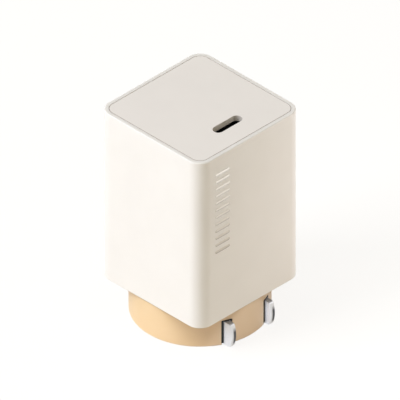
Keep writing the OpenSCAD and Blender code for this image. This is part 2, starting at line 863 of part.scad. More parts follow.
module port_controller_chip() {
  color(chip_black) translate([0, output_face_y, port_chip_z]) rotate([90, 0, 0])
    footed_chip(port_chip_size, 6);
}

module isolation_capacitor() {
  d = disc_size.x;
  t = disc_size.y;
  r = disc_edge_r;
  color("#2F6FB0") translate([-zone_half + d, output_face_y, disc_z]) rotate([90, 0, 0]) {
    cylinder(d = d - 2 * r, h = t);
    translate([0, 0, r]) cylinder(d = d, h = t - 2 * r);
    for (z = [r, t - r]) translate([0, 0, z]) rotate_extrude() translate([d / 2 - r, 0]) circle(r);
  }
}

// Surface-mounted can on its square foot, standing out from the output board.
module output_capacitor(column) {
  foot = [output_cap_d + 0.3, output_cap_d + 0.3, 0.8];
  step = foot.x + 2 * part_gap;
  color("silver") translate([column * step, output_face_y, output_cap_z]) rotate([90, 0, 0]) {
    translate([-foot.x / 2, -foot.y / 2, 0]) cube(foot);
    translate([0, 0, foot.z / 2]) can_capacitor(output_cap_d, output_cap_h - foot.z / 2);
  }
}

// Transformer --------------------------------------------------------------

module transformer_frame() {
  translate([main_face_x, core_y, core_z]) rotate([0, 90, 0]) children();
}

// Half core: plate, round middle post and two outer legs round the window.
module core_half() {
  half_h = core_h / 2;
  difference() {
    translate([-core_l / 2, -core_d / 2, 0]) cube([core_l, core_d, half_h]);
    translate([0, 0, core_plate]) difference() {
      union() {
        cylinder(r = core_window_r, h = half_h);
        translate([-core_post_r - core_channel, -core_d, 0])
          cube([2 * (core_post_r + core_channel), 2 * core_d, half_h]);
      }
      translate([0, 0, -cut]) cylinder(r = core_post_r, h = half_h + 2 * cut);
    }
  }
}

module transformer_core_lower() {
  color(ferrite_grey) transformer_frame() translate([0, 0, core_lift]) core_half();
}

module transformer_core_upper() {
  color(ferrite_grey) transformer_frame() translate([0, 0, core_lift + core_h]) mirror([0, 0, 1])
    core_half();
}

// Tube round the middle post, with two flanges and two rails that hold the pins.
module transformer_bobbin() {
  low = core_lift + core_plate + bobbin_gap / 2;
  high = core_lift + core_h - core_plate - bobbin_gap / 2;
  tube_r = core_post_r + bobbin_gap;
  flange_r = core_window_r - bobbin_gap;
  bridge_x = core_post_r;
  rail_x = rail_pin_pitch + rail_d / 2;
  color(chip_black) transformer_frame() {
    difference() {
      union() {
        translate([0, 0, low]) cylinder(r = tube_r + bobbin_wall, h = high - low);
        for (z = [low, high - bobbin_wall]) translate([0, 0, z])
          cylinder(r = flange_r, h = bobbin_wall);
        span([-bridge_x, -rail_pin_y, low], [bridge_x, rail_pin_y, low + bobbin_wall]);
      }
      translate([0, 0, low - cut]) cylinder(r = tube_r, h = high - low + 2 * cut);
    }
    for (s = [-1, 1]) translate([0, s * rail_pin_y, 0])
      span([-rail_x, -rail_d / 2, 0], [rail_x, rail_d / 2, low + bobbin_wall]);
  }
  color(chip_black) rail_pins(lead_r);
}

module transformer_winding() {
  low = core_lift + core_plate + bobbin_gap / 2 + bobbin_wall;
  high = core_lift + core_h - core_plate - bobbin_gap / 2 - bobbin_wall;
  inner_r = core_post_r + bobbin_gap + bobbin_wall;
  color("#D8B93A") transformer_frame() translate([0, 0, low])
    ring(core_window_r - 2 * bobbin_gap, inner_r, high - low);
}

// Linings ------------------------------------------------------------------

// U-shaped sheet along the left, rear and right walls, open to the front.
module lining(outer_half, t) {
  corner_r = cavity_corner_r - cavity_half + outer_half;
  translate([0, 0, lining_low_z]) linear_extrude(lining_top_z - lining_low_z) difference() {
    round_square(2 * outer_half, corner_r);
    round_square(2 * (outer_half - t), corner_r - t);
    translate([-case_side / 2, -case_side]) square([case_side, case_side + lining_front_y]);
  }
}

module heat_spreader() {
  color("#C9753C") lining(lining_out, spreader_t);
}

module insulating_sheet() {
  color("#E8D9A0") lining(sheet_out, sheet_t);
}

// Soft pad between the power switch and the insulating sheet.
module thermal_pad() {
  chip_top_x = main_x - power_chip_size.z;
  color("#7F8FA6") span([-zone_half - zone_gap, core_y - pad_side / 2, core_z - pad_side / 2],
    [chip_top_x, core_y + pad_side / 2, core_z + pad_side / 2]);
}

// Nodes --------------------------------------------------------------------

outer_case();
port_panel();
plug_drum();
hinge_retainer();
retainer_screws();
detent_spring();
mains_contact(-1);  // mains_contact_left
mains_contact(1);  // mains_contact_right
blade_rotor();
blade(-1);  // blade_left
blade(1);  // blade_right
hinge_pin(-1);  // hinge_pin_left
hinge_pin(1);  // hinge_pin_right
usb_c_shell();
usb_c_tongue();
usb_c_contacts();
input_board();
main_board();
output_board();
fuse();
line_filter_capacitor();
line_choke_core();
line_choke_windings();
bridge_rectifier();
bulk_capacitor(bulk_places[0]);  // bulk_capacitor_front
bulk_capacitor(bulk_places[1]);  // bulk_capacitor_rear
bulk_capacitor_lying();
transformer_core_lower();
transformer_core_upper();
transformer_bobbin();
transformer_winding();
power_switch_chip();
controller_chip();
isolation_capacitor();
synchronous_rectifier();
port_controller_chip();
output_capacitor(-1);  // output_capacitor_left
output_capacitor(0);  // output_capacitor_middle
output_capacitor(1);  // output_capacitor_right
heat_spreader();
insulating_sheet();
thermal_pad();
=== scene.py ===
import math

import bmesh
import bpy
from bpy.props import FloatProperty, FloatVectorProperty, IntProperty, PointerProperty
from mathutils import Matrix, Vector


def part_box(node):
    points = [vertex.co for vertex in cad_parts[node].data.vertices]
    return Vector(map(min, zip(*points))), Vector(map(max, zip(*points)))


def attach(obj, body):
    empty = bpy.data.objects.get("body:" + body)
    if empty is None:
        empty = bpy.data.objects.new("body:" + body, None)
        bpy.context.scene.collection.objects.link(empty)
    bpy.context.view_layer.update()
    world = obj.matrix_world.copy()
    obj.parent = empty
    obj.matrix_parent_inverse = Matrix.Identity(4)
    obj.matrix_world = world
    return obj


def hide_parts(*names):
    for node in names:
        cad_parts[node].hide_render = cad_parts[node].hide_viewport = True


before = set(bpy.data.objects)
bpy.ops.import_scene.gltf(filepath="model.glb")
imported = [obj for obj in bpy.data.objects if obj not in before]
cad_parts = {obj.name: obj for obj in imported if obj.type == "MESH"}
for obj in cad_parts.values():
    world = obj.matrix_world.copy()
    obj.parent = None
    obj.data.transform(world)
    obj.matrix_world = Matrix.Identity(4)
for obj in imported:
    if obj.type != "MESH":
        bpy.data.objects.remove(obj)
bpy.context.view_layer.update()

bl_info = {
    "name": "Folding-Blade Wall Adapter",
    "version": (1, 0, 0),
    "blender": (4, 5, 0),
    "location": "View3D > Sidebar > Adapter",
    "description": "Gives a USB-C wall adapter its plastics, metals and boards, and lights it",
    "category": "Object",
}

MM = 0.001
SAME_PLACE = 0.001 * MM
CASE_LOW, CASE_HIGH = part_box("outer_case")
DRUM_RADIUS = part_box("plug_drum")[1].x


def srgb(code):
    """Scene colour of a hex code such as F5EFE5."""
    levels = [int(code[i:i + 2], 16) / 255 for i in (0, 2, 4)]
    return tuple(v / 12.92 if v <= 0.04045 else ((v + 0.055) / 1.055) ** 2.4 for v in levels)


def colour(name, description, code):
    return FloatVectorProperty(
        name=name, description=description, default=srgb(code), subtype="COLOR", min=0, max=1)


def length(name, description, millimetres, **limits):
    return FloatProperty(
        name=name, description=description, default=millimetres * MM, precision=5,
        subtype="DISTANCE", unit="LENGTH", **limits)


def angle(name, description, degrees):
    return FloatProperty(
        name=name, description=description, default=math.radians(degrees), subtype="ANGLE")


def power(name, description, watts):
    return FloatProperty(name=name, description=description, default=watts, unit="POWER")


# Sizes and colours -----------------------------------------------------------

class ShellFinish(bpy.types.PropertyGroup):
    """Plastics of the case, the port panel and the drum."""
    case: colour("Case", "Colour of the case", "F5EFE8")
    panel: colour("Port Panel", "Colour of the panel round the port", "F7F0E9")
    drum: colour("Drum", "Colour of the plug's drum and of the rotor in it", "E6C9A8")
    # Painted shade: the seam's walls are darkened to stand in for the shade inside the narrow gap
    # round the panel.
    seam: colour("Seam", "Colour of the seam's walls round the panel", "D0C2B2")
    # Painted shade: a thin darker line under the case's lower edge, for the shade between the case
    # and the drum.
    low_edge_shade: colour("Low Edge", "Colour of the thin line under the case's lower edge", "CDC4B8")
    # Painted shade: darkens the end wall of the port's opening, past a place across the panel.
    throat_shade: colour("Port Throat", "Colour of the end wall of the port's opening", "C6BEB3")
    throat_shade_x: length(
        "Throat X", "Place across the panel where the opening's end wall turns dark", 3.3)
    grain: length("Grain", "Width of one grain of the moulded surface", 0.25, min=0)
    grain_depth: length("Grain Depth", "Height of the moulded grain", 0.003, min=0)


class FoilStrip(bpy.types.PropertyGroup):
    """Row of plain foil bars on the front of the case."""
    # Painted reflection: the foil is darker at the strip's lower end and lighter at its upper end.
    low: colour("Lower End", "Colour of the foil at the strip's lower end", "C4B9AB")
    high: colour("Upper End", "Colour of the foil at the strip's upper end", "E6E1D6")
    bars: IntProperty(name="Bars", description="Number of bars", default=12, min=1)
    bar: length("Bar", "Width of one bar", 0.75, min=0)
    reach: length("Reach", "Length of one bar, across the strip", 4.7, min=0)
    run: length("Run", "Height of the whole strip", 22.5, min=0)
    middle_x: length("Middle X", "Place of the strip's middle across the case", -9.35)
    middle_z: length("Middle Z", "Height of the strip's middle above the table", 40.0)
    film: length("Film", "How far the foil stands out of the plastic", 0.03, min=0)


class SlotShadeLiner(bpy.types.PropertyGroup):
    """Black liner in the mouth of each blade slot, a dark piece that stands in for the shade inside
    the slot.
    """
    tone: colour("Liner", "Colour of the liner", "151516")
    outer_left: length(
        "Outer Left", "How far the liner reaches to the left of the blade's middle", 1.36, min=0)
    outer_right: length(
        "Outer Right", "How far the liner reaches to the right of the blade's middle", 1.14, min=0)
    inner_half: length("Inner Half", "Half of the liner's opening", 0.86, min=0)
    low: length("Foot", "Height of the liner's feet above the table", 0.5, min=0)
    roof_low: length("Roof Low", "Height of the opening's roof", 6.52, min=0)
    roof_top: length("Roof Top", "Height of the liner's top", 6.9, min=0)
    proud: length("Proud", "How far the liner's rim stands out of the drum's skin", 0.02, min=0)
    corner: length("Corner", "Rounding of the liner's upper corners", 0.26, min=0)
    depth: length("Depth", "How far the liner reaches into the drum", 2.4, min=0)


class MetalFinish(bpy.types.PropertyGroup):
    """Metals of the blades, the port and the hinge."""
    plate: colour("Plating", "Colour of the blades' plated faces", "E7E7E9")
    # Partly painted shade: the dull band is darkened only on the lower middle of each tip's edge.
    edge: colour(
        "Sheared Band", "Colour of the dull band on the edge of each blade's tip", "3A3C40")
    # Partly painted shade: the stamped narrow edges are duller, and painted darker than the faces.
    stamped_and_shaded_narrow: colour("Narrow Edges", "Colour of the blades' stamped narrow edges", "A6A9B0")
    metallic: FloatProperty(
        name="Plating Mirror", description="How mirror-like the plating is", default=0.25)
    round_over: length("Round-Over", "Radius of the blades' tumbled edges", 0.2, min=0)
    tip_round: length("Tip Rounding", "Radius of the edges round each blade's tip", 0.5, min=0)
    tip_zone: length("Tip Zone", "Length over which the tip's rounding fades out", 6.0, min=0)
    # Partly painted shade: black-nickel plating, made dark also to stand in for the shade inside
    # the port.
    shell: colour("Port Shell", "Colour of the port's metal shell", "3A3A3C")
    gold: colour("Contacts", "Colour of the port's contacts", "E6C06A")
    steel: colour("Steel", "Colour of pins, screws and spring", "A9A9AB")
    copper: colour("Copper", "Colour of strips and spreader", "C98A5C")


class BoardFinish(bpy.types.PropertyGroup):
    """Boards, and the parts that stand on them."""
    mask: colour("Solder Mask", "Colour of the boards between their tracks", "10402A")
    track: colour("Tracks", "Colour of the tracks under the solder mask", "2C6B43")
    glass: colour("Board Edge", "Colour of the boards' sawn edges", "B9A878")
    tin: colour("Tin", "Colour of leads, feet and soldered dots", "CFCFCB")
    epoxy: colour("Chip Epoxy", "Colour of chips and bobbin", "232326")
    fuse: colour("Fuse", "Colour of the fuse's box", "7A2B22")
    film: colour("Film Capacitor", "Colour of the film capacitor's box", "D9B02C")
    core: colour("Choke Core", "Colour of the choke's coated ring", "4C7A50")
    wire: colour("Enamelled Wire", "Colour of the choke's wire", "B3682E")
    ferrite: colour("Ferrite", "Colour of the transformer's core", "3E3E42")
    tape: colour("Tape", "Colour of the tape round the transformer's winding", "E3C443")
    disc: colour("Disc Capacitor", "Colour of the disc capacitor", "2F6FB0")
    sleeve: colour("Sleeve", "Colour of the large capacitors' sleeves", "262B36")
    stripe: colour("Sleeve Stripe", "Colour of the plain stripe down each sleeve", "8E96A6")
    can: colour("Can", "Colour of bare aluminium", "C4C6CA")
    sheet: colour("Insulating Sheet", "Colour of the insulating sheet", "E6D290")
    pad: colour("Thermal Pad", "Colour of the thermal pad", "7F8FA6")
    turns: IntProperty(
        name="Choke Turns", description="Turns of wire on each half of the choke", default=9, min=1)
    wire_r: length("Wire Radius", "Radius of the choke's wire", 0.34, min=0)
    wire_arc: angle("Winding Arc", "Angle that each winding covers", 122)
    ring_t: length("Ring", "Thickness of the choke's ring between bore and rim", 2.6, min=0)


class StageLook(bpy.types.PropertyGroup):
    """Lamps, table and camera."""
    key: power("Key Lamp", "Power of the lamp on the left", 17.8)
    fill: power("Fill Lamp", "Power of the small lamp on the right", 0.0172)
    drum_key: power("Drum Key", "Power of the drum's own lamp on the left", 23.3)
    drum_fill: power("Drum Fill", "Power of the drum's own lamp in front", 5.44)
    left_kicker: power("Left Blade Lamp", "Power of the narrow lamp for the left tip", 2.7)
    right_kicker: power("Right Blade Lamp", "Power of the narrow lamp for the right tip", 6.2)
    beam: angle("Blade Beam", "Angle of each narrow lamp's beam", 1.5)
    ambient: FloatProperty(name="Ambient", description="Strength of the room's light", default=0.38)
    shown: FloatProperty(
        name="Table Tone", description="Share of the table's own shading that the camera sees",
        default=0.25)
    under_gap: length("Table Gap", "How far the table's top lies under the drum", 0.05, min=0)
    azimuth: angle("Azimuth", "Side that the camera stands on", -45)
    elevation: angle("Elevation", "Camera's angle above the table", 35.15)
    frame_side: length("Frame", "Side of the square that the camera sees", 92.72)
    target_z: length("Aim", "Height that the camera aims at", 30.0)


# Materials -------------------------------------------------------------------

def new_material(name, metallic=0.0):
    made = bpy.data.materials.new(name)
    made.use_nodes = True
    made.node_tree.nodes["Principled BSDF"].inputs["Metallic"].default_value = metallic
    return made, made.node_tree


def add(tree, kind, inputs=None, **settings):
    """New node. An input given as a socket is linked, and any other is set."""
    node = tree.nodes.new(kind)
    for name, value in settings.items():
        setattr(node, name, value)
    for name, value in (inputs or {}).items():
        if isinstance(value, bpy.types.NodeSocket):
            tree.links.new(value, node.inputs[name])
        else:
            node.inputs[name].default_value = value
    return node


def place(tree, stretch=(1, 1, 1)):
    """Point on the piece, in metres, with each axis drawn out by a factor."""
    point = add(tree, "ShaderNodeTexCoord").outputs["Object"]
    if stretch == (1, 1, 1):
        return point
    squeeze = [1 / s for s in stretch]
    return add(tree, "ShaderNodeMapping", {"Vector": point, "Scale": squeeze}).outputs["Vector"]


def noise(tree, size, stretch=(1, 1, 1), detail=2):
    """Soft noise from 0 to 1 whose lumps are about size wide."""
    inputs = {"Vector": place(tree, stretch), "Scale": 1 / size, "Detail": detail}
    return add(tree, "ShaderNodeTexNoise", inputs).outputs["Fac"]


def between(tree, value, low, high, start=0.3, end=0.7):
    """Value carried from start..end over to low..high."""
    inputs = {"Value": value, "From Min": start, "From Max": end, "To Min": low, "To Max": high}
    return add(tree, "ShaderNodeMapRange", inputs).outputs["Result"]


def ramp(tree, value, *stops):
    """Colour for a value, through the stops (place, colour)."""
    node = add(tree, "ShaderNodeValToRGB", {"Fac": value})
    elements = node.color_ramp.elements
    while len(elements) < len(stops):
        elements.new(1)
    for element, (at, tone) in zip(elements, stops):
        element.position = at
        element.color = (*tone, 1)
    return node.outputs["Color"]


def shade(tone, factor):
    return tuple(min(1, c * factor) for c in tone)


def bump(tree, height, depth, under=None):
    """Normal of a relief that is depth high."""
    inputs = {"Height": height, "Distance": depth, "Strength": 1}
    if under:
        inputs["Normal"] = under
    return add(tree, "ShaderNodeBump", inputs).outputs["Normal"]


def axis(tree, name, kind="Object"):
    """One coordinate of the point on the piece, or of its normal."""
    source = add(tree, "ShaderNodeTexCoord").outputs[kind]
    return add(tree, "ShaderNodeSeparateXYZ", {"Vector": source}).outputs[name]


def math_node(tree, operation, *values):
    inputs = dict(enumerate(values))
    return add(tree, "ShaderNodeMath", inputs, operation=operation).outputs["Value"]


def vector_node(tree, operation, *values, output="Vector"):
    inputs = dict(enumerate(values))
    return add(tree, "ShaderNodeVectorMath", inputs, operation=operation).outputs[output]


def both(tree, first, *others):
    """1 where every factor is 1."""
    for other in others:
        first = math_node(tree, "MULTIPLY", first, other)
    return first


def above(tree, value, limit, edge=0.02 * MM):
    """1 where a value is over a limit, with a narrow soft edge."""
    return between(tree, value, 0, 1, limit - edge / 2, limit + edge / 2)


def below(tree, value, limit, edge=0.02 * MM):
    return between(tree, value, 1, 0, limit - edge / 2, limit + edge / 2)


def from_line(tree, centre, across):
    """Distance from a straight line through centre; across is 0 along the line and 1 across it."""
    offset = vector_node(tree, "SUBTRACT", place(tree), centre)
    flat = vector_node(tree, "MULTIPLY", offset, across)
    return vector_node(tree, "LENGTH", flat, output="Value")


def facing_out(tree):
    """How far out a wall stands from the middle axis; below 0 where it faces the axis."""
    source = add(tree, "ShaderNodeTexCoord").outputs
    flat = vector_node(tree, "MULTIPLY", source["Object"], (1, 1, 0))
    return vector_node(tree, "DOT_PRODUCT", source["Normal"], flat, output="Value")


def surface(tree, tone, roughness, relief):
    """Links a material's colour, roughness and normal."""
    shader = tree.nodes["Principled BSDF"]
    for name, output in (("Base Color", tone), ("Roughness", roughness), ("Normal", relief)):
        tree.links.new(output, shader.inputs[name])


def overlay(made, where, tone, metallic=0.0, roughness=0.4):
    """Lays another finish over a material where the factor is 1."""
    tree = made.node_tree
    shader = tree.nodes["Principled BSDF"]
    base = shader.inputs["Base Color"]
    mixed = add(tree, "ShaderNodeMixRGB",
                {"Fac": where, "Color1": base.links[0].from_socket, "Color2": (*tone, 1)})
    tree.links.new(mixed.outputs["Color"], base)
    for name, value in (("Metallic", metallic), ("Roughness", roughness)):
        socket = shader.inputs[name]
        under = socket.links[0].from_socket if socket.links else socket.default_value
        mixed = add(tree, "ShaderNodeMix", {0: where, 2: under, 3: value}, data_type="FLOAT")
        tree.links.new(mixed.outputs[0], socket)
    return made


def bands(tree, direction, period):
    """Wave from 0 to 1 in straight bands across X, Y or Z."""
    inputs = {"Vector": place(tree), "Scale": math.tau / 20 / period}
    return add(tree, "ShaderNodeTexWave", inputs, bands_direction=direction).outputs["Fac"]


def cells(tree, size, output, **settings):
    """Cells about size wide: their colours, or the distance to their middles."""
    inputs = {"Vector": place(tree), "Scale": 1 / size}
    return add(tree, "ShaderNodeTexVoronoi", inputs, **settings).outputs[output]


def moulded(name, tone, roughness, grain, grain_depth, cloud=0.012, glow=0.0):
    """Moulded plastic: eroded grain, faint clouds in the colour and an uneven polish."""
    made, tree = new_material(name)
    clouds = noise(tree, 9 * MM, detail=3)
    wipes = noise(tree, 4 * MM, stretch=(1, 1, 3))
    waves = bump(tree, noise(tree, 5 * MM), 0.004 * MM)
    surface(
        tree, ramp(tree, clouds, (0.3, shade(tone, 1 - cloud)), (0.7, shade(tone, 1 + cloud))),
        between(tree, wipes, roughness - 0.03, roughness + 0.04),
        bump(tree, noise(tree, grain, detail=3), grain_depth, under=waves))
    shader = tree.nodes["Principled BSDF"]
    shader.inputs["Specular IOR Level"].default_value = 0.35
    shader.inputs["Subsurface Weight"].default_value = glow
    shader.inputs["Subsurface Radius"].default_value = (1, 1, 1)
    shader.inputs["Subsurface Scale"].default_value = 0.9 * MM
    return made


def metal(name, tone, roughness, stretch=(1, 1, 1), line=0.12, depth=0.002, tarnish=0.06):
    """Metal with fine drawn lines along its stretched axes; line and depth in millimetres."""
    made, tree = new_material(name, metallic=1)
    lines = noise(tree, line * MM, stretch, detail=4)
    stains = noise(tree, 1.5 * MM)
    surface(
        tree, ramp(tree, stains, (0.3, shade(tone, 1 - tarnish)), (0.7, tone)),
        between(tree, lines, roughness * 0.8, roughness * 1.3), bump(tree, lines, depth * MM))
    return made


def lumpy(name, tone, size, depth, dark, light, roughness):
    """Coating that settled in lumps, dark in the hollows."""
    made, tree = new_material(name)
    lumps = noise(tree, size, detail=3)
    surface(
        tree, ramp(tree, lumps, (0.3, shade(tone, dark)), (0.7, shade(tone, light))),
        between(tree, lumps, *roughness), bump(tree, lumps, depth))
    return made


# Pieces ----------------------------------------------------------------------

def dress(made, *names):
    """Gives CAD parts a material in place of their flat one."""
    for name in names:
        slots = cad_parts[name].data.materials
        slots.clear()
        slots.append(made)


def plain_copy(name):
    """A CAD part's mesh with its split corners joined and its flat faces whole."""
    mesh = bmesh.new()
    mesh.from_mesh(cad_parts[name].data)
    bmesh.ops.remove_doubles(mesh, verts=mesh.verts, dist=SAME_PLACE)
    flat = math.radians(1)
    bmesh.ops.dissolve_limit(mesh, angle_limit=flat, verts=mesh.verts, edges=mesh.edges)
    return mesh


def new_piece(name, mesh, made, body):
    piece = bpy.data.objects.new(name, bpy.data.meshes.new(name))
    mesh.to_mesh(piece.data)
    mesh.free()
    piece.data.materials.append(made)
    bpy.context.scene.collection.objects.link(piece)
    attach(piece, body)
    return piece


class FinishShell(bpy.types.Operator):
    """Give the case, the port panel and the drum their moulded plastics"""
    bl_idname = "adapter.finish_shell"
    bl_label = "Finish Shell"
    wall_reach = 10 * MM
    wall_fade = 2 * MM
    wall_roughness = 0.6

    def execute(self, context):
        look = context.scene.shell_finish
        grain = (look.grain, look.grain_depth)
        self.finish_case(look, moulded("cream_case", look.case, 0.42, *grain, glow=0.5))
        self.finish_panel(look, moulded("port_panel", look.panel, 0.5, *grain))
        dress(moulded("tan_rotor", look.drum, 0.4, *grain), "blade_rotor")
        dress(moulded("tan_drum", look.drum, 0.4, *grain, glow=0.3), "plug_drum")
        dress(moulded("inner_plastic", srgb("D8D3C8"), 0.55, *grain), "hinge_retainer")
        return {"FINISHED"}

    def finish_case(self, look, made):
        """Paints shade on the inner wall of the case's rim, and a thin line of painted shade where
        its lower edge turns in.
        """
        tree = made.node_tree
        rim_depth = 1.4 * MM
        line_height = 0.24 * MM
        # Painted shade on the inner wall of the rim, inside the seam.
        rim_wall_shade = both(
            tree, below(tree, facing_out(tree), -self.wall_reach, self.wall_fade),
            above(tree, axis(tree, "Z"), CASE_HIGH.z - rim_depth))
        overlay(made, rim_wall_shade, look.seam, roughness=self.wall_roughness)
        turned = axis(tree, "Z", "Normal")
        # Painted shade on the lower edge's rounding, where it turns in over the drum.
        low_edge_shade = both(
            tree, below(tree, axis(tree, "Z"), CASE_LOW.z + line_height),
            below(tree, turned, -0.25, 0.2), above(tree, turned, -0.95, 0.06))
        overlay(made, low_edge_shade, look.low_edge_shade, roughness=self.wall_roughness)
        dress(made, "outer_case")

    def finish_panel(self, look, made):
        """Paints shade on the panel's outer wall, and on the end wall of the port's opening."""
        tree = made.node_tree
        lip = 0.05 * MM
        reach = 2 * MM
        # Painted shade on the panel's outer wall, inside the seam.
        outer_wall_shade = above(tree, facing_out(tree), self.wall_reach, self.wall_fade)
        overlay(made, outer_wall_shade, look.seam, roughness=self.wall_roughness)
        across = axis(tree, "X")
        # Painted shade on the end wall of the port's opening.
        end_wall_shade = both(
            tree, above(tree, across, look.throat_shade_x, 0.5 * MM),
            below(tree, axis(tree, "X", "Normal"), -0.1, 0.4),
            below(tree, axis(tree, "Z"), CASE_HIGH.z - lip, 0.1 * MM),
            below(tree, across, look.throat_shade_x + reach))
        overlay(made, end_wall_shade, look.throat_shade, roughness=self.wall_roughness)
        dress(made, "port_panel")


class AddFoilStrip(bpy.types.Operator):
    """Add the row of plain foil bars on the front of the case"""
    bl_idname = "adapter.add_foil_strip"
    bl_label = "Add Foil Strip"

    def execute(self, context):
        strip = context.scene.foil_strip
        pitch = (strip.run - strip.bar) / max(1, strip.bars - 1)
        outline = self.outline(strip)
        mesh = bmesh.new()
        for i in range(strip.bars):
            z = strip.middle_z + (i - (strip.bars - 1) / 2) * pitch
            inner, outer = [
                [mesh.verts.new((strip.middle_x + x, y, z + dz)) for x, dz in outline]
                for y in (CASE_LOW.y + strip.film, CASE_LOW.y - strip.film)]
            mesh.faces.new(outer)
            mesh.faces.new(reversed(inner))
            for k in range(len(outline)):
                n = (k + 1) % len(outline)
                mesh.faces.new((inner[k], inner[n], outer[n], outer[k]))
        bmesh.ops.recalc_face_normals(mesh, faces=mesh.faces)
        new_piece("foil_strip", mesh, self.foil(strip, pitch), "charger")
        return {"FINISHED"}

    def outline(self, strip):
        """Points round one bar, whose two ends are round."""
        half = strip.bar / 2
        straight = strip.reach / 2 - half
        steps = 10
        points = []
        for side in (1, -1):
            for i in range(steps + 1):
                a = math.pi * i / steps - math.pi / 2
                points.append((side * (straight + half * math.cos(a)), side * half * math.sin(a)))
        return points

    def foil(self, strip, pitch):
        """Matte foil with painted reflection: darker at the strip's lower end, lighter at its upper
        end, and each bar painted darker on its lower side and lighter on its upper side.
        """
        made, tree = new_material("tone_foil", metallic=0.8)
        # Painted shade and highlight on the lower and upper side of each bar.
        painted_bar_shade, painted_bar_highlight = (0.74,) * 3, (1.1,) * 3
        height = axis(tree, "Z")
        low_z, high_z = strip.middle_z - strip.run / 2, strip.middle_z + strip.run / 2
        rise = between(tree, height, 0, 1, low_z, high_z)
        on_bar = math_node(tree, "MODULO", math_node(tree, "SUBTRACT", height, low_z), pitch)
        painted_bar_light = ramp(tree, between(tree, on_bar, 0, 1, 0, strip.bar), (0.2, painted_bar_shade), (0.8, painted_bar_highlight))
        along = ramp(tree, rise, (0, strip.low), (1, strip.high))
        painted_foil_light = add(tree, "ShaderNodeMixRGB", {"Fac": 1, "Color1": along, "Color2": painted_bar_light},
                    blend_type="MULTIPLY")
        flake = noise(tree, 0.06 * MM)
        surface(tree, painted_foil_light.outputs["Color"], between(tree, flake, 0.28, 0.4),
                bump(tree, flake, 0.001 * MM))
        return made


class AddSlotShadeLiners(bpy.types.Operator):
    """Line the mouths of the two blade slots with black plastic that stands in for the shade inside
    them
    """
    bl_idname = "adapter.add_slot_liners"
    bl_label = "Add Slot Liners"

    def execute(self, context):
        shading_liner = context.scene.slot_liner
        shell = context.scene.shell_finish
        made = moulded(
            "liner_plastic", shading_liner.tone, 0.55, shell.grain, shell.grain_depth, cloud=0.1)
        for name in ("left", "right"):
            low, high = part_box("blade_" + name)
            mesh = self.arch(shading_liner, (low.x + high.x) / 2)
            piece = new_piece("slot_liner_" + name, mesh, made, "charger")
            bevel = piece.modifiers.new("Soft Edges", "BEVEL")
            bevel.width = 0.03 * MM
            bevel.segments = 2
            bevel.limit_method = "ANGLE"
            bevel.harden_normals = True
            for face in piece.data.polygons:
                face.use_smooth = True
        return {"FINISHED"}

    def arch(self, shading_liner, middle):
        """Arch of two walls and a roof, whose front follows the drum's round skin."""
        mesh = bmesh.new()
        skin = DRUM_RADIUS + shading_liner.proud
        steps = 6
        across = [middle - shading_liner.outer_left]
        across += [middle + shading_liner.inner_half * (2 * i / steps - 1) for i in range(steps + 1)]
        across += [middle + shading_liner.outer_right]
        rows = [[mesh.verts.new((x, -math.sqrt(skin ** 2 - x ** 2), z)) for x in across]
                for z in (shading_liner.low, shading_liner.roof_low, shading_liner.roof_top)]
        walls, roof = 0, 1
        front = []
        for row in (walls, roof):
            for i in range(len(across) - 1):
                if row == roof or i in (0, len(across) - 2):
                    front.append(mesh.faces.new(
                        (rows[row][i], rows[row][i + 1], rows[row + 1][i + 1], rows[row + 1][i])))
        loose = [vert for vert in mesh.verts if not vert.link_faces]
        bmesh.ops.delete(mesh, geom=loose, context="VERTS")
        copied = bmesh.ops.extrude_face_region(mesh, geom=front, use_keep_orig=True)["geom"]
        for item in copied:
            if isinstance(item, bmesh.types.BMVert):
                item.co.y += shading_liner.depth
        ends = (across[0], across[-1])
        corners = [
            edge for edge in mesh.edges if all(
                min(abs(vert.co.x - x) for x in ends) < SAME_PLACE
                and abs(vert.co.z - shading_liner.roof_top) < SAME_PLACE for vert in edge.verts)]
        bmesh.ops.bevel(
            mesh, geom=corners, offset=shading_liner.corner, segments=4, profile=0.5, affect="EDGES")
        bmesh.ops.recalc_face_normals(mesh, faces=mesh.faces)
        return mesh


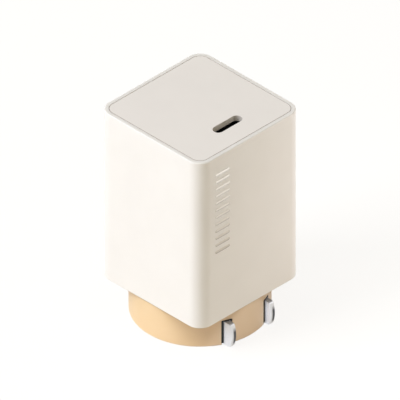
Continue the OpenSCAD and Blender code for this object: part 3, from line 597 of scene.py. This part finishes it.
class BuildBlades(bpy.types.Operator):
    """Build the two plated blades, with tumbled edges and well rounded tips"""
    bl_idname = "adapter.build_blades"
    bl_label = "Build Blades"

    def execute(self, context):
        look = context.scene.metal_finish
        sharp = math.radians(35)
        for name in ("blade_left", "blade_right"):
            mesh = plain_copy(name)
            low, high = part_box(name)
            weights = mesh.edges.layers.float.new("bevel_weight_edge")
            for edge in mesh.edges:
                if edge.calc_face_angle(0) > sharp:
                    behind = (min(vert.co.y for vert in edge.verts) - low.y) / look.tip_zone
                    fade = (look.round_over / look.tip_round - 1) * min(1, behind)
                    edge[weights] = 1 + fade
            made = self.plated("plated_" + name, look, low, high)
            piece = new_piece("plated_" + name, mesh, made, "folding_plug")
            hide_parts(name)
            bevel = piece.modifiers.new("Round-Over", "BEVEL")
            bevel.limit_method = "WEIGHT"
            bevel.width = look.tip_round
            bevel.segments = 4
            bevel.harden_normals = True
            for face in piece.data.polygons:
                face.use_smooth = True
        return {"FINISHED"}

    def plated(self, name, look, low, high):
        """Nickel plating, drawn lengthwise, with a dark band on the lower middle of the tip's edge
        that is partly a duller sheared band and partly painted shade.
        """
        made, tree = new_material(name, look.metallic)
        middle_x = (low.x + high.x) / 2
        across, height = axis(tree, "X"), axis(tree, "Z")
        # Sheared band and painted shade on the tip's edge.
        sheared_and_shaded_band = both(
            tree, between(tree, across, 0, 1, middle_x - 0.3 * MM, middle_x + 0.05 * MM),
            between(tree, height, 0, 1, low.z + 0.3 * MM, low.z + 1.3 * MM),
            between(tree, height, 1, 0, high.z - 2.2 * MM, high.z - 1.0 * MM),
            between(tree, axis(tree, "Y", "Normal"), 1, 0, -0.8, -0.4))
        lines = noise(tree, 0.1 * MM, stretch=(1, 12, 1), detail=4)
        surface(tree, ramp(tree, sheared_and_shaded_band, (0, look.plate), (1, look.edge)),
                between(tree, lines, 0.27, 0.31), bump(tree, lines, 0.00008 * MM))
        # Narrow edges: duller stamped finish, and painted shade.
        stamped_and_shaded_narrow = above(tree, math_node(tree, "ABSOLUTE", axis(tree, "Z", "Normal")), 0.85, 0.2)
        return overlay(made, stamped_and_shaded_narrow, look.stamped_and_shaded_narrow, look.metallic, roughness=0.4)


class FinishPort(bpy.types.Operator):
    """Give the port's shell, tongue and contacts their metals and plastic"""
    bl_idname = "adapter.finish_port"
    bl_label = "Finish Port"

    def execute(self, context):
        look = context.scene.metal_finish
        shell = context.scene.shell_finish
        lengthwise = (1, 1, 10)
        # Dark shell: black-nickel plating, and painted shade inside the port.
        dress(metal("port_shell", look.shell, 0.38, lengthwise), "usb_c_shell")
        tongue = moulded("port_tongue", srgb("1B1B1E"), 0.5, shell.grain / 2, shell.grain_depth)
        dress(tongue, "usb_c_tongue")
        dress(metal("gold_contacts", look.gold, 0.22, lengthwise, line=0.05), "usb_c_contacts")
        return {"FINISHED"}


class FinishHinge(bpy.types.Operator):
    """Give the hinge's pins, screws, spring and contacts their metals"""
    bl_idname = "adapter.finish_hinge"
    bl_label = "Finish Hinge"

    def execute(self, context):
        look = context.scene.metal_finish
        round_x, round_z = (1, 12, 12), (12, 12, 1)
        along_x, along_z = (12, 1, 1), (1, 1, 12)
        pins = metal("turned_pins", look.steel, 0.25, round_x)
        dress(pins, "hinge_pin_left", "hinge_pin_right")
        screws = metal("screw_steel", look.steel, 0.32, round_z, tarnish=0.15)
        dress(screws, "retainer_screws")
        dress(metal("spring_steel", shade(look.steel, 0.8), 0.3, along_x), "detent_spring")
        contacts = metal("contact_copper", look.copper, 0.3, along_z, tarnish=0.2)
        dress(contacts, "mains_contact_left", "mains_contact_right")
        return {"FINISHED"}


class FinishBoards(bpy.types.Operator):
    """Give the three boards a green solder mask, tracks, tinned dots and sawn edges"""
    bl_idname = "adapter.finish_boards"
    bl_label = "Finish Boards"

    def execute(self, context):
        look = context.scene.board_finish
        for name, thin, first, second in (
                ("input_board", "Z", "X", "Y"), ("main_board", "X", "Y", "Z"),
                ("output_board", "Y", "X", "Z")):
            dress(self.masked(name, look, thin, first, second), name)
        return {"FINISHED"}

    def masked(self, name, look, thin, first, second):
        """Board with tracks along two axes, tinned dots, and sawn edges round its thin side."""
        made, tree = new_material("masked_" + name)
        block_size, track_pitch, dot_pitch = 3.2 * MM, 0.9 * MM, 2.3 * MM
        blocks = cells(tree, block_size, "Color", distance="CHEBYCHEV")
        block = add(tree, "ShaderNodeSeparateColor", {"Color": blocks}).outputs
        turned = above(tree, block["Red"], 0.5, 0.01)
        inputs = {
            0: turned, 2: bands(tree, first, track_pitch), 3: bands(tree, second, track_pitch)}
        lanes = add(tree, "ShaderNodeMix", inputs, data_type="FLOAT").outputs[0]
        laid = math_node(tree, "MAXIMUM", above(tree, lanes, 0.62, 0.1),
                         above(tree, block["Green"], 0.66, 0.01))
        weave = bump(tree, noise(tree, 0.3 * MM), 0.003 * MM)
        surface(tree, ramp(tree, laid, (0, look.mask), (1, look.track)),
                between(tree, noise(tree, 2 * MM), 0.2, 0.32),
                bump(tree, laid, 0.02 * MM, under=weave))
        dots = below(tree, cells(tree, dot_pitch, "Distance"), 0.17, 0.04)
        overlay(made, dots, look.tin, 1, roughness=0.28)
        sawn = below(tree, math_node(tree, "ABSOLUTE", axis(tree, thin, "Normal")), 0.5, 0.1)
        return overlay(made, sawn, look.glass, 0, roughness=0.75)


class FinishCapacitors(bpy.types.Operator):
    """Give the capacitors and the fuse their sleeves, cans, coatings and tinned leads"""
    bl_idname = "adapter.finish_capacitors"
    bl_label = "Finish Capacitors"

    def execute(self, context):
        look = context.scene.board_finish
        for name in ("bulk_capacitor_front", "bulk_capacitor_rear"):
            self.tinned(self.sleeved(name, look, "Z"), look)
        self.sleeved("bulk_capacitor_lying", look, "Y")
        self.tinned(self.boxed("fuse", look.fuse, 0.45), look)
        self.tinned(self.boxed("line_filter_capacitor", look.film, 0.38), look)
        lacquer = lumpy(
            "dipped_disc", look.disc, size=1.2 * MM, depth=0.06 * MM, dark=0.88, light=1.08,
            roughness=(0.12, 0.24))
        dress(lacquer, "isolation_capacitor")
        for name in (
                "output_capacitor_left", "output_capacitor_middle", "output_capacitor_right"):
            dress(self.canned(name, look), name)
        return {"FINISHED"}

    def tinned(self, made, look):
        """Leads under a part that stands on the input board."""
        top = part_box("input_board")[1].z
        leads = below(made.node_tree, axis(made.node_tree, "Z"), top)
        return overlay(made, leads, look.tin, 1, roughness=0.3)

    def sleeved(self, name, look, along):
        """Shrunk sleeve with a plain stripe, open over the can's vented top."""
        low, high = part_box(name)
        middle = (low + high) / 2
        stripe_width, turned_over, hem = 0.8 * MM, 0.35 * MM, 0.8 * MM
        made = moulded("sleeved_" + name, look.sleeve, 0.3, 0.5 * MM, 0.004 * MM)
        tree = made.node_tree
        across = (1, 1, 0) if along == "Z" else (1, 0, 1)
        stripe = above(tree, axis(tree, "X"), high.x - stripe_width, 0.1 * MM)
        overlay(made, stripe, look.stripe, 0, roughness=0.35)
        end = getattr(high, along.lower())
        from_middle = from_line(tree, middle, across)
        bare = both(
            tree, above(tree, axis(tree, along), end - turned_over),
            below(tree, from_middle, (high.x - low.x) / 2 - hem, 0.05 * MM))
        dress(made, name)
        return overlay(made, bare, look.can, 1, roughness=0.33)

    def boxed(self, name, tone, roughness):
        made = moulded("boxed_" + name, tone, roughness, 0.2 * MM, 0.004 * MM, cloud=0.04)
        dress(made, name)
        return made

    def canned(self, name, look):
        """Bare aluminium can on a black foot, with a plain dark crescent on its top."""
        low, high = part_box(name)
        made = metal("canned_" + name, look.can, 0.3, (1, 10, 1), tarnish=0.08)
        tree = made.node_tree
        top_depth, foot_height = 0.15 * MM, 0.81 * MM
        crescent_end = low.x + (high.x - low.x) * 0.3
        crescent = both(
            tree, below(tree, axis(tree, "Y"), low.y + top_depth),
            below(tree, axis(tree, "X"), crescent_end, 0.05 * MM))
        overlay(made, crescent, look.sleeve, 0, roughness=0.4)
        foot = above(tree, axis(tree, "Y"), high.y - foot_height)
        return overlay(made, foot, look.epoxy, 0, roughness=0.5)


class FinishChips(bpy.types.Operator):
    """Give the chips matte epoxy with a round dimple, and tinned feet"""
    bl_idname = "adapter.finish_chips"
    bl_label = "Finish Chips"

    def execute(self, context):
        look = context.scene.board_finish
        for name, along, body, face in (
                ("bridge_rectifier", "Y", 5.0, "Z"), ("power_switch_chip", "Y", 7.0, "X"),
                ("controller_chip", "Y", 4.0, "X"), ("synchronous_rectifier", "Z", 6.0, "Y"),
                ("port_controller_chip", "Z", 4.0, "Y")):
            dress(self.chip(name, look, along, body * MM, face), name)
        return {"FINISHED"}

    def chip(self, name, look, along, body, face):
        """Epoxy block that is body long, with its feet past both of its ends."""
        low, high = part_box(name)
        middle = (low + high) / 2
        made = moulded("epoxy_" + name, look.epoxy, 0.55, 0.12 * MM, 0.006 * MM, cloud=0.08)
        tree = made.node_tree
        inset, from_end, dimple_radius = 0.9 * MM, 1.4 * MM, 0.32 * MM
        dimple_at = low + Vector((inset, inset, inset))
        setattr(dimple_at, along.lower(), getattr(low, along.lower()) + from_end)
        across = [0 if letter == face else 1 for letter in "XYZ"]
        dimple = below(tree, from_line(tree, dimple_at, across), dimple_radius, 0.06 * MM)
        overlay(made, dimple, shade(look.epoxy, 0.5), 0, roughness=0.3)
        out = math_node(tree, "SUBTRACT", axis(tree, along), getattr(middle, along.lower()))
        feet = above(tree, math_node(tree, "ABSOLUTE", out), body / 2 + 0.01 * MM)
        return overlay(made, feet, look.tin, 1, roughness=0.28)


class FinishTransformer(bpy.types.Operator):
    """Give the transformer its ferrite halves, bobbin with tinned pins, and taped winding"""
    bl_idname = "adapter.finish_transformer"
    bl_label = "Finish Transformer"

    def execute(self, context):
        look = context.scene.board_finish
        ferrite, tree = new_material("ground_ferrite", metallic=0.3)
        specks = noise(tree, 0.15 * MM, detail=4)
        dark, light = shade(look.ferrite, 0.75), shade(look.ferrite, 1.25)
        surface(tree, ramp(tree, specks, (0.35, dark), (0.7, light)),
                between(tree, specks, 0.5, 0.7), bump(tree, specks, 0.01 * MM))
        dress(ferrite, "transformer_core_lower", "transformer_core_upper")
        bobbin = moulded(
            "bobbin_plastic", look.epoxy, 0.45, 0.2 * MM, 0.004 * MM, cloud=0.06)
        tree = bobbin.node_tree
        pins = below(tree, axis(tree, "X"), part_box("main_board")[1].x)
        dress(overlay(bobbin, pins, look.tin, 1, roughness=0.3), "transformer_bobbin")
        dress(self.taped(look), "transformer_winding")
        return {"FINISHED"}

    def taped(self, look):
        """Layers of glossy film tape, each wrapped a little past the one under it."""
        made, tree = new_material("wrapped_tape")
        steps = bands(tree, "X", 1.6 * MM)
        creases = noise(tree, 1.0 * MM, stretch=(4, 1, 1), detail=3)
        tone = ramp(tree, steps, (0, shade(look.tape, 0.86)), (0.5, look.tape),
                    (1, shade(look.tape, 1.06)))
        surface(tree, tone, between(tree, creases, 0.18, 0.34),
                bump(tree, creases, 0.03 * MM, under=bump(tree, steps, 0.05 * MM)))
        return made


class WindChoke(bpy.types.Operator):
    """Coat the choke's ring and wind enamelled wire round both of its halves"""
    bl_idname = "adapter.wind_choke"
    bl_label = "Wind Choke"

    def execute(self, context):
        look = context.scene.board_finish
        coat = lumpy(
            "coated_ring", look.core, size=0.8 * MM, depth=0.04 * MM, dark=0.85, light=1.1,
            roughness=(0.3, 0.45))
        dress(coat, "line_choke_core")
        enamel = metal("enamelled_wire", look.wire, 0.22, line=0.4, tarnish=0.15)
        curve = bpy.data.curves.new("choke_wires", "CURVE")
        curve.dimensions = "3D"
        curve.bevel_depth = look.wire_r
        curve.bevel_resolution = 3
        curve.use_fill_caps = True
        curve.materials.append(enamel)
        for middle_angle in (math.pi / 2, -math.pi / 2):
            points = self.turns(look, middle_angle)
            spline = curve.splines.new("POLY")
            spline.points.add(len(points) - 1)
            for point, where in zip(spline.points, points):
                point.co = (*where, 1)
        wires = bpy.data.objects.new("choke_wires", curve)
        context.scene.collection.objects.link(wires)
        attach(wires, "charger")
        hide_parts("line_choke_windings")
        return {"FINISHED"}

    def turns(self, look, middle_angle):
        """Path of the wire's middle: round the ring's section, and slowly along the ring."""
        low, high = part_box("line_choke_core")
        centre = (low + high) / 2
        ring_r = (high.x - low.x - look.ring_t) / 2
        gap = look.wire_r + 0.06 * MM
        half_w, half_h = look.ring_t / 2, (high.z - low.z) / 2
        section = []
        steps = 4
        for side_x, side_z, start in ((1, 1, 0), (-1, 1, 90), (-1, -1, 180), (1, -1, 270)):
            for step in range(steps + 1):
                a = math.radians(start + 90 * step / steps)
                section.append((
                    side_x * half_w + gap * math.cos(a), side_z * half_h + gap * math.sin(a)))
        section = section[-steps - 1:] + section[:-steps - 1]
        count = len(section)
        points = []
        for i in range(look.turns * count + 1):
            r, z = section[i % count]
            a = middle_angle + look.wire_arc * (i / (look.turns * count) - 0.5)
            reach = ring_r + r
            points.append((
                centre.x + reach * math.cos(a), centre.y + reach * math.sin(a), centre.z + z))
        return points


class FinishLinings(bpy.types.Operator):
    """Give the heat spreader, the insulating sheet and the thermal pad their finishes"""
    bl_idname = "adapter.finish_linings"
    bl_label = "Finish Linings"

    def execute(self, context):
        look = context.scene.board_finish
        shell = context.scene.shell_finish
        copper = context.scene.metal_finish.copper
        rolled = metal("rolled_copper", copper, 0.3, (1, 1, 14), line=0.3, tarnish=0.25)
        dress(rolled, "heat_spreader")
        sheet = moulded("amber_film", look.sheet, 0.22, 1.5 * MM, 0.01 * MM, cloud=0.05)
        dress(sheet, "insulating_sheet")
        pad = moulded(
            "filled_silicone", look.pad, 0.8, shell.grain / 2, 0.02 * MM, cloud=0.1)
        dress(pad, "thermal_pad")
        return {"FINISHED"}


class SetStage(bpy.types.Operator):
    """Set up the table, the lamps, the room's light and the camera"""
    bl_idname = "adapter.set_stage"
    bl_label = "Set Stage"
    # Value with the lamp's power, whether it lights the drum alone (INCLUDE) or all but the
    # drum (EXCLUDE), place, side and tint.
    lamps = (
        ("key", "EXCLUDE", (-1.078, 0.503, 0.96), 0.8, (0.98, 1.06, 1.225)),
        ("fill", "EXCLUDE", (0.06, -0.06, 0.037), 0.06, (1.12, 1.11, 1.22)),
        ("drum_key", "INCLUDE", (-0.8425, 0.393, 1.2), 0.8, (1, 1.04, 0.89)),
        ("drum_fill", "INCLUDE", (-0.211, -0.366, 0.916), 0.4, (1, 1.12, 1.28)),
    )
    # Blade, value with the lamp's power, and way from the blade's tip to the lamp.
    blade_lamps = (
        ("left", "left_kicker", (-0.46, -0.18, 0.01)),
        ("right", "right_kicker", (-0.487, -0.085, 0.01)),
    )
    blade_tint = (0.84, 0.98, 1.2)
    room_tint = (1, 0.92, 0.71)
    table_tint = (0.84, 0.79, 0.7, 1)
    table_glow = 0.35

    def execute(self, context):
        look = context.scene.stage_look
        self.add_table(look)
        middle = Vector((0, 0, look.target_z))
        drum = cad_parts["plug_drum"]
        for name, state, where, side, tint in self.lamps:
            lamp = self.add_lamp(name, where, middle, side, getattr(look, name), tint)
            self.link_lamp(lamp, state, drum)
        for side, value, away in self.blade_lamps:
            self.add_blade_lamp(look, side, getattr(look, value), Vector(away))
        self.add_world(look)
        self.add_camera(look, middle)
        context.scene.view_settings.view_transform = "Standard"
        return {"FINISHED"}

    def add_table(self, look):
        """Pale table that shows a share of its own shading, and lets the blades show."""
        half_side, inset = 3, 0.5 * MM
        mesh = bmesh.new()
        bmesh.ops.create_grid(mesh, x_segments=8, y_segments=8, size=half_side)
        table = bpy.data.objects.new("table", bpy.data.meshes.new("table"))
        table.location.z = -look.under_gap
        mesh.to_mesh(table.data)
        mesh.free()
        bpy.context.scene.collection.objects.link(table)
        made = bpy.data.materials.new("pale_table")
        made.use_nodes = True
        tree = made.node_tree
        tree.nodes.clear()
        seen = self.seen(tree)
        under = add(tree, "ShaderNodeNewGeometry").outputs["Backfacing"]
        pale = add(tree, "ShaderNodeBsdfDiffuse", {"Color": self.table_tint})
        clear = add(tree, "ShaderNodeBsdfTransparent")
        open_spot = below(tree, from_line(tree, (0, 0, 0), (1, 1, 0)), DRUM_RADIUS - inset)
        hidden = math_node(tree, "MAXIMUM", both(tree, seen, 1 - look.shown), under)
        hidden = math_node(tree, "MAXIMUM", hidden, open_spot)
        mixed = add(tree, "ShaderNodeMixShader", {
            "Fac": hidden, 1: pale.outputs["BSDF"], 2: clear.outputs["BSDF"]})
        above_it = math_node(tree, "SUBTRACT", 1, under)
        lift = both(tree, seen, above_it, self.table_glow * look.shown)
        glow = add(tree, "ShaderNodeEmission", {"Color": (1, 1, 1, 1), "Strength": lift})
        glowing = add(tree, "ShaderNodeAddShader", {
            0: mixed.outputs["Shader"], 1: glow.outputs["Emission"]})
        add(tree, "ShaderNodeOutputMaterial", {"Surface": glowing.outputs["Shader"]})
        table.data.materials.append(made)

    def seen(self, tree):
        """1 for what the camera sees straight, in a mirror or through glass."""
        ray = add(tree, "ShaderNodeLightPath").outputs
        mirror = math_node(tree, "MAXIMUM", ray["Is Glossy Ray"], ray["Is Transmission Ray"])
        return math_node(tree, "MAXIMUM", ray["Is Camera Ray"], mirror)

    def add_lamp(self, name, where, target, side, watts, tint):
        lamp = bpy.data.lights.new(name + "_lamp", "AREA")
        lamp.shape = "SQUARE"
        lamp.size = side
        lamp.energy = watts
        lamp.color = tint
        return self.hold(lamp, Vector(where), target)

    def link_lamp(self, lamp, state, *pieces):
        """Makes a lamp light only these pieces (INCLUDE), or all but them (EXCLUDE)."""
        group = bpy.data.collections.new(lamp.name + "_pieces")
        for piece in pieces:
            group.objects.link(piece)
        for entry in group.collection_objects:
            entry.light_linking.link_state = state
        lamp.light_linking.receiver_collection = group

    def add_blade_lamp(self, look, side, watts, away):
        """Narrow lamp low on the left that lights only the tip of one folded blade."""
        low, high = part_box("blade_" + side)
        behind_tip = 1 * MM
        tip = Vector((low.x, low.y + behind_tip, high.z / 2))
        lamp = bpy.data.lights.new("blade_lamp_" + side, "SPOT")
        lamp.energy = watts
        lamp.color = self.blade_tint
        lamp.spot_size = look.beam
        lamp.spot_blend = 1
        lamp.shadow_soft_size = 3 * MM
        held = self.hold(lamp, tip + away, tip)
        self.link_lamp(held, "INCLUDE", bpy.data.objects["plated_blade_" + side])

    def hold(self, lamp, where, target):
        """Puts a lamp in its place, aimed at the target and unseen itself."""
        held = bpy.data.objects.new(lamp.name, lamp)
        held.location = where
        held.rotation_euler = (target - where).to_track_quat("-Z", "Y").to_euler()
        held.visible_camera = False
        bpy.context.scene.collection.objects.link(held)
        return held

    def add_world(self, look):
        """White room for the camera, and a dimmer, warmer one for all that it lights."""
        world = bpy.data.worlds.new("room")
        bpy.context.scene.world = world
        world.use_nodes = True
        tree = world.node_tree
        background = tree.nodes["Background"].inputs
        seen = self.seen(tree)
        level = add(tree, "ShaderNodeMapRange", {
            "Value": seen, "To Min": look.ambient, "To Max": 1})
        tree.links.new(level.outputs["Result"], background["Strength"])
        tone = ramp(tree, seen, (0, self.room_tint), (1, (1, 1, 1)))
        tree.links.new(tone, background["Color"])

    def add_camera(self, look, target):
        away = 0.6
        data = bpy.data.cameras.new("camera")
        data.type = "ORTHO"
        data.ortho_scale = look.frame_side
        data.clip_start, data.clip_end = 0.01, 5
        camera = bpy.data.objects.new("camera", data)
        flat = math.cos(look.elevation)
        back = Vector((
            math.sin(look.azimuth) * flat, -math.cos(look.azimuth) * flat,
            math.sin(look.elevation)))
        camera.location = target + back * away
        camera.rotation_euler = back.to_track_quat("Z", "Y").to_euler()
        bpy.context.scene.collection.objects.link(camera)
        bpy.context.scene.camera = camera


GROUPS = {
    "shell_finish": ShellFinish, "foil_strip": FoilStrip, "slot_liner": SlotShadeLiner,
    "metal_finish": MetalFinish, "board_finish": BoardFinish, "stage_look": StageLook,
}
STEPS = (
    FinishShell, AddFoilStrip, AddSlotShadeLiners, BuildBlades, FinishPort, FinishHinge,
    FinishBoards, FinishCapacitors, FinishChips, FinishTransformer, WindChoke, FinishLinings,
    SetStage)


class AdapterPanel(bpy.types.Panel):
    """Buttons and values of the wall adapter."""
    bl_idname = "ADAPTER_PT_pieces"
    bl_label = "Wall Adapter"
    bl_space_type = "VIEW_3D"
    bl_region_type = "UI"
    bl_category = "Adapter"

    def draw(self, context):
        for step in STEPS:
            self.layout.operator(step.bl_idname)
        for name, group in GROUPS.items():
            box = self.layout.box()
            for prop in group.__annotations__:
                box.prop(getattr(context.scene, name), prop)


CLASSES = (*GROUPS.values(), *STEPS, AdapterPanel)


def register():
    for cls in CLASSES:
        bpy.utils.register_class(cls)
    for name, group in GROUPS.items():
        setattr(bpy.types.Scene, name, PointerProperty(type=group))


def unregister():
    for name in GROUPS:
        delattr(bpy.types.Scene, name)
    for cls in reversed(CLASSES):
        bpy.utils.unregister_class(cls)


def main():
    register()
    for step in STEPS:
        group, name = step.bl_idname.split(".")
        getattr(getattr(bpy.ops, group), name)()


if __name__ == "__main__":
    main()
